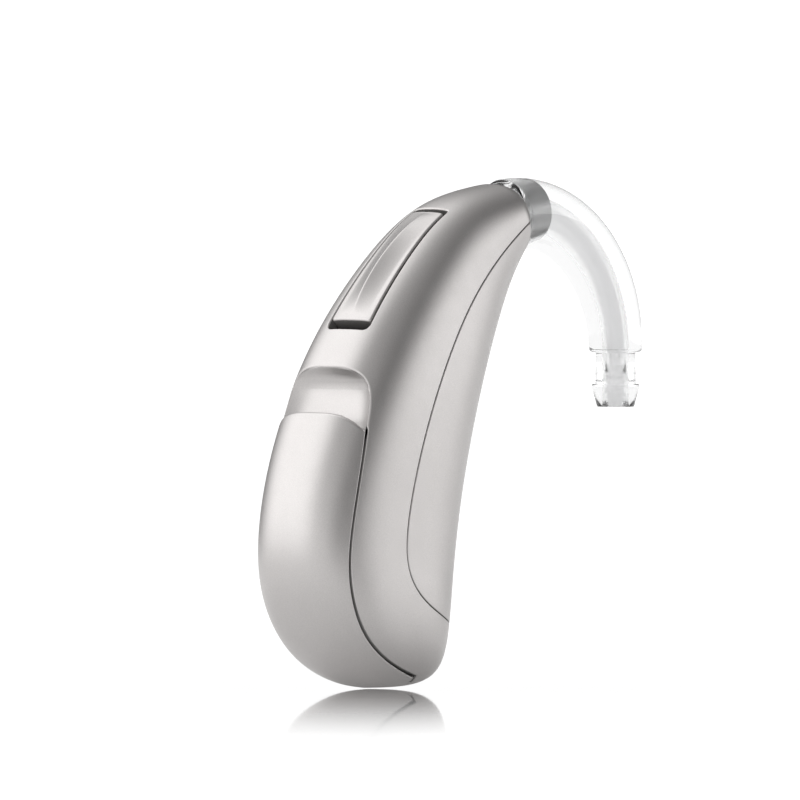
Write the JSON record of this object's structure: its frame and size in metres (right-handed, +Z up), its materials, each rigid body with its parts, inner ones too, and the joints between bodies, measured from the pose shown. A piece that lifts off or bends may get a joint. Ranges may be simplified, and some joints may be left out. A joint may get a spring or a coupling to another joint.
{
  "type": "behind-the-ear hearing aid",
  "caption": "Behind-the-ear hearing aid: curved lacquered casing, clear screw-on ear hook with tubing nozzle, rocker switch with microphone slots, and hinged battery door that carries the cell.",
  "frame": {"origin": "the point under the arch of the ear hook where the top of the ear carries it, on the middle plane", "axes": "+Z up when worn, +X from the casing towards the face along the hook, +Y across the casing, which is its thin direction"},
  "size_m": [0.0361, 0.0098, 0.0359],
  "materials": {
    "lacquer": "satin metallic lacquer",
    "dark_plastic": "moulded, fine grain",
    "steel": "brushed",
    "nickel_plate": "bright nickel plate",
    "nylon": "natural nylon",
    "green_board": "solder mask",
    "soft_rubber": "matt silicone",
    "chip_black": "moulding compound",
    "ceramic": "fired ceramic",
    "copper_winding": "lacquered winding",
    "gold_plate": "thin gold plate",
    "clear_plastic": "clear, polished"
  },
  "bodies": {
    "casing": {"housing": "lacquer", "front_cover": "lacquer", "door_pin": "steel", "rocker_pin": "steel", "switch_frame": "dark_plastic", "switch_board": "green_board", "switch_domes": "steel", "front_microphone": "steel", "rear_microphone": "steel", "microphone_seals": "soft_rubber", "chassis": "dark_plastic", "circuit_board": "green_board", "hearing_chip": "chip_black", "board_parts": "ceramic", "telecoil": "copper_winding", "receiver": "steel", "receiver_boots": "soft_rubber", "receiver_tube": "soft_rubber", "positive_contact": "gold_plate", "negative_contact": "gold_plate", "hook_spigot": "steel"},
    "door": {"battery_door": "lacquer", "cell_tray": "dark_plastic", "cell_can": "nickel_plate", "cell_gasket": "nylon", "cell_lid": "nickel_plate"},
    "rocker": {"rocker": "lacquer"},
    "hook_thread": {"hook_seal": "soft_rubber"},
    "hook": {"ear_hook": "clear_plastic"}
  },
  "joints": [
    {"name": "door_swing", "type": "hinge", "parent": "casing", "child": "door", "pos_m": [-0.01398, 0, -0.02954], "axis": [0, -1, 0], "range_deg": [0, 80]},
    {"name": "rocker_tilt", "type": "hinge", "parent": "casing", "child": "rocker", "pos_m": [-0.01352, 0, -0.00185], "axis": [0, -1, 0], "range_deg": [-2.5, 2.5], "stiffness_Nm_per_rad": 0.05},
    {"name": "hook_lift", "type": "slide", "parent": "casing", "child": "hook_thread", "axis": [0.9903, 0, 0.1392], "range_m": [0, 0.00225]},
    {"name": "hook_turn", "type": "hinge", "parent": "hook_thread", "child": "hook", "pos_m": [-0.00218, 0, 0.00244], "axis": [0.9903, 0, 0.1392], "range_deg": [0, 1620.01]}
  ],
  "couplings": [
    {"joint": "hook_turn", "follows": "hook_lift", "rad_per_m": 12566}
  ]
}
